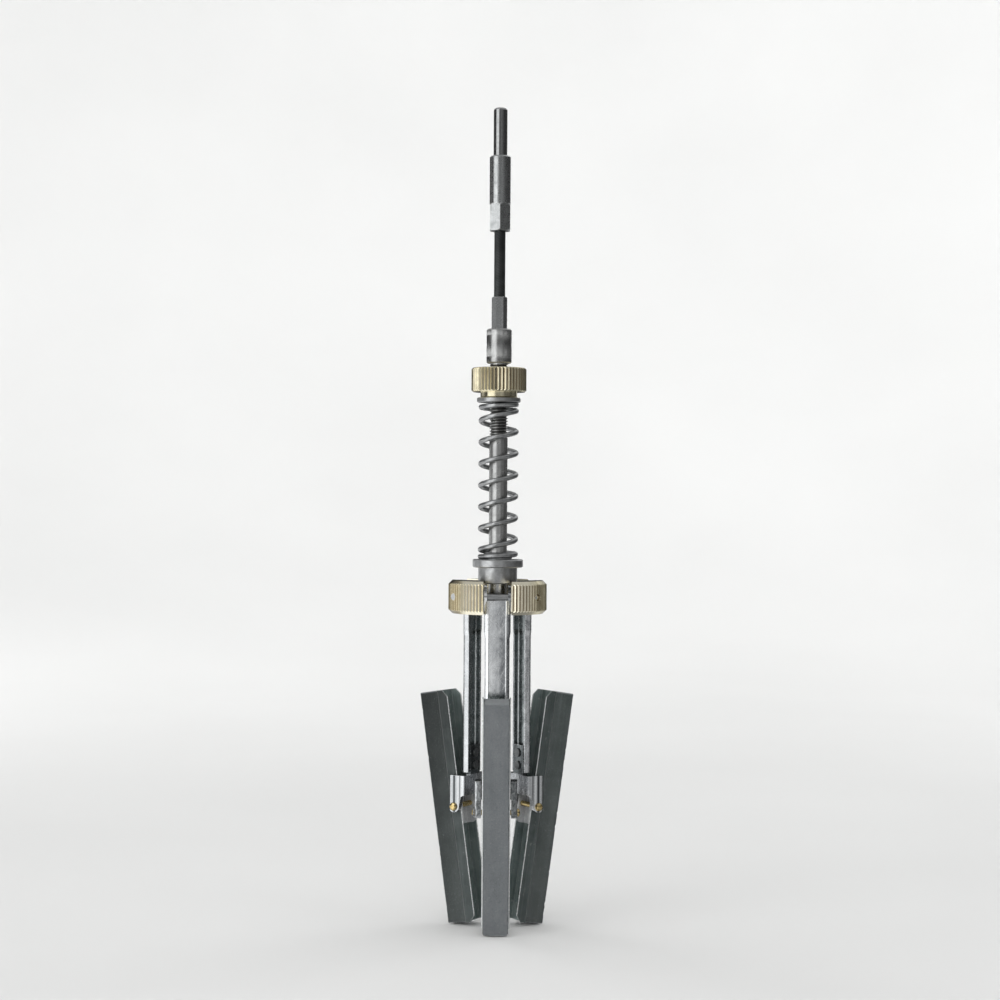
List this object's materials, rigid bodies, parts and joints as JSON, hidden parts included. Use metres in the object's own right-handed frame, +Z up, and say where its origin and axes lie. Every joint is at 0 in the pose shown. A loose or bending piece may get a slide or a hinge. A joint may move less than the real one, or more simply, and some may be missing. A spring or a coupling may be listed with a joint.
{
  "type": "cylinder hone",
  "caption": "Engine cylinder hone: abrasive stones on swinging channel arms, pushed out by a spring behind a knurled nut and driven through a flexible shaft.",
  "frame": {"origin": "middle of the exposed drive shank, on the hone's axis", "axes": "+Z up the hone's axis towards the drill, arm 1 towards -Y, +X to the right seen from arm 1"},
  "size_m": [0.068, 0.0589, 0.3572],
  "materials": {
    "shank_steel": "satin",
    "coupling_steel": "satin",
    "black_wire": "satin",
    "spindle_steel": "satin",
    "gold_plating": "satin",
    "plated_steel": "satin",
    "spring_steel": "satin",
    "arm_chrome": "polished",
    "yoke_chrome": "polished",
    "gold_pin": "satin",
    "holder_steel": "satin",
    "abrasive": "matte"
  },
  "bodies": {
    "shank_body": {"drive_shank": "shank_steel", "upper_coupling": "coupling_steel"},
    "flex_core": {"flex_shaft": "black_wire"},
    "spindle_body": {"lower_coupling": "coupling_steel", "coupling_pin": "plated_steel", "spindle": "spindle_steel", "arm_hub": "gold_plating", "hub_washer": "plated_steel", "hub_nut": "plated_steel", "arm_pivot_pins": "plated_steel"},
    "washer_body": {"thrust_washer": "plated_steel"},
    "nut_body": {"tension_nut": "gold_plating"},
    "collar_body": {"thrust_collar": "plated_steel", "tension_spring": "spring_steel"},
    "arm_body_1": {"arm_1": "arm_chrome", "yoke_1": "yoke_chrome", "yoke_rivets_1": "yoke_chrome"},
    "pin_body_1": {"stone_pin_1": "gold_pin", "pin_clip_1": "plated_steel"},
    "shoe_body_1": {"stone_holder_1": "holder_steel", "pivot_saddle_1": "plated_steel", "stone_1": "abrasive"},
    "arm_body_2": {"arm_2": "arm_chrome", "yoke_2": "yoke_chrome", "yoke_rivets_2": "yoke_chrome"},
    "pin_body_2": {"stone_pin_2": "gold_pin", "pin_clip_2": "plated_steel"},
    "shoe_body_2": {"stone_holder_2": "holder_steel", "pivot_saddle_2": "plated_steel", "stone_2": "abrasive"},
    "arm_body_3": {"arm_3": "arm_chrome", "yoke_3": "yoke_chrome", "yoke_rivets_3": "yoke_chrome"},
    "pin_body_3": {"stone_pin_3": "gold_pin", "pin_clip_3": "plated_steel"},
    "shoe_body_3": {"stone_holder_3": "holder_steel", "pivot_saddle_3": "plated_steel", "stone_3": "abrasive"}
  },
  "joints": [
    {"name": "flex_bend_x", "type": "hinge", "parent": "shank_body", "child": "flex_core", "pos_m": [0, 0, -0.0504], "axis": [1, 0, 0], "range_deg": [-30, 30], "stiffness_Nm_per_rad": 0.5, "deforming": ["flex_shaft"]},
    {"name": "flex_bend_y", "type": "hinge", "parent": "flex_core", "child": "spindle_body", "pos_m": [0, 0, -0.0648], "axis": [0, 1, 0], "range_deg": [-30, 30], "stiffness_Nm_per_rad": 0.5},
    {"name": "tension_travel", "type": "slide", "parent": "spindle_body", "child": "washer_body", "axis": [0, 0, -1], "range_m": [0, 0.012], "deforming": ["tension_spring"]},
    {"name": "tension_nut_turn", "type": "hinge", "parent": "washer_body", "child": "nut_body", "pos_m": [0, 0, -0.1095], "axis": [0, 0, -1], "range_deg": [0, 3457]},
    {"name": "arm_1_swing", "type": "hinge", "parent": "spindle_body", "child": "arm_body_1", "pos_m": [0, -0.012, -0.2026], "axis": [-1, 0, 0], "range_deg": [-2, 42]},
    {"name": "arm_2_swing", "type": "hinge", "parent": "spindle_body", "child": "arm_body_2", "pos_m": [0.01039, 0.006, -0.2026], "axis": [0.5, -0.866, 0], "range_deg": [-2, 42]},
    {"name": "arm_3_swing", "type": "hinge", "parent": "spindle_body", "child": "arm_body_3", "pos_m": [-0.01039, 0.006, -0.2026], "axis": [0.5, 0.866, 0], "range_deg": [-2, 42]},
    {"name": "pin_1_turn", "type": "hinge", "parent": "arm_body_1", "child": "pin_body_1", "pos_m": [0, -0.0162, -0.2946], "axis": [-1, 0, 0], "range_deg": [-42, 2]},
    {"name": "stone_1_rock", "type": "hinge", "parent": "pin_body_1", "child": "shoe_body_1", "pos_m": [0, -0.0162, -0.2946], "axis": [-1, 0, 0], "range_deg": [0, 8.7]},
    {"name": "pin_2_turn", "type": "hinge", "parent": "arm_body_2", "child": "pin_body_2", "pos_m": [0.01403, 0.0081, -0.2946], "axis": [0.5, -0.866, 0], "range_deg": [-42, 2]},
    {"name": "stone_2_rock", "type": "hinge", "parent": "pin_body_2", "child": "shoe_body_2", "pos_m": [0.01403, 0.0081, -0.2946], "axis": [0.5, -0.866, 0], "range_deg": [0, 8.7]},
    {"name": "pin_3_turn", "type": "hinge", "parent": "arm_body_3", "child": "pin_body_3", "pos_m": [-0.01403, 0.0081, -0.2946], "axis": [0.5, 0.866, 0], "range_deg": [-42, 2]},
    {"name": "stone_3_rock", "type": "hinge", "parent": "pin_body_3", "child": "shoe_body_3", "pos_m": [-0.01403, 0.0081, -0.2946], "axis": [0.5, 0.866, 0], "range_deg": [0, 8.7]},
    {"name": "collar_travel", "type": "slide", "parent": "spindle_body", "child": "collar_body", "axis": [0, 0, -1], "range_m": [-0.00021, 0.00438]}
  ],
  "couplings": [
    {"joint": "tension_nut_turn", "follows": "tension_travel", "rad_per_m": 5026.5},
    {"joint": "arm_2_swing", "follows": "arm_1_swing", "ratio": 1},
    {"joint": "arm_3_swing", "follows": "arm_1_swing", "ratio": 1},
    {"joint": "pin_1_turn", "follows": "arm_1_swing", "ratio": -1},
    {"joint": "pin_2_turn", "follows": "arm_1_swing", "ratio": -1},
    {"joint": "pin_3_turn", "follows": "arm_1_swing", "ratio": -1},
    {"joint": "collar_travel", "follows": "arm_1_swing", "m_per_rad": 0.0059657}
  ]
}
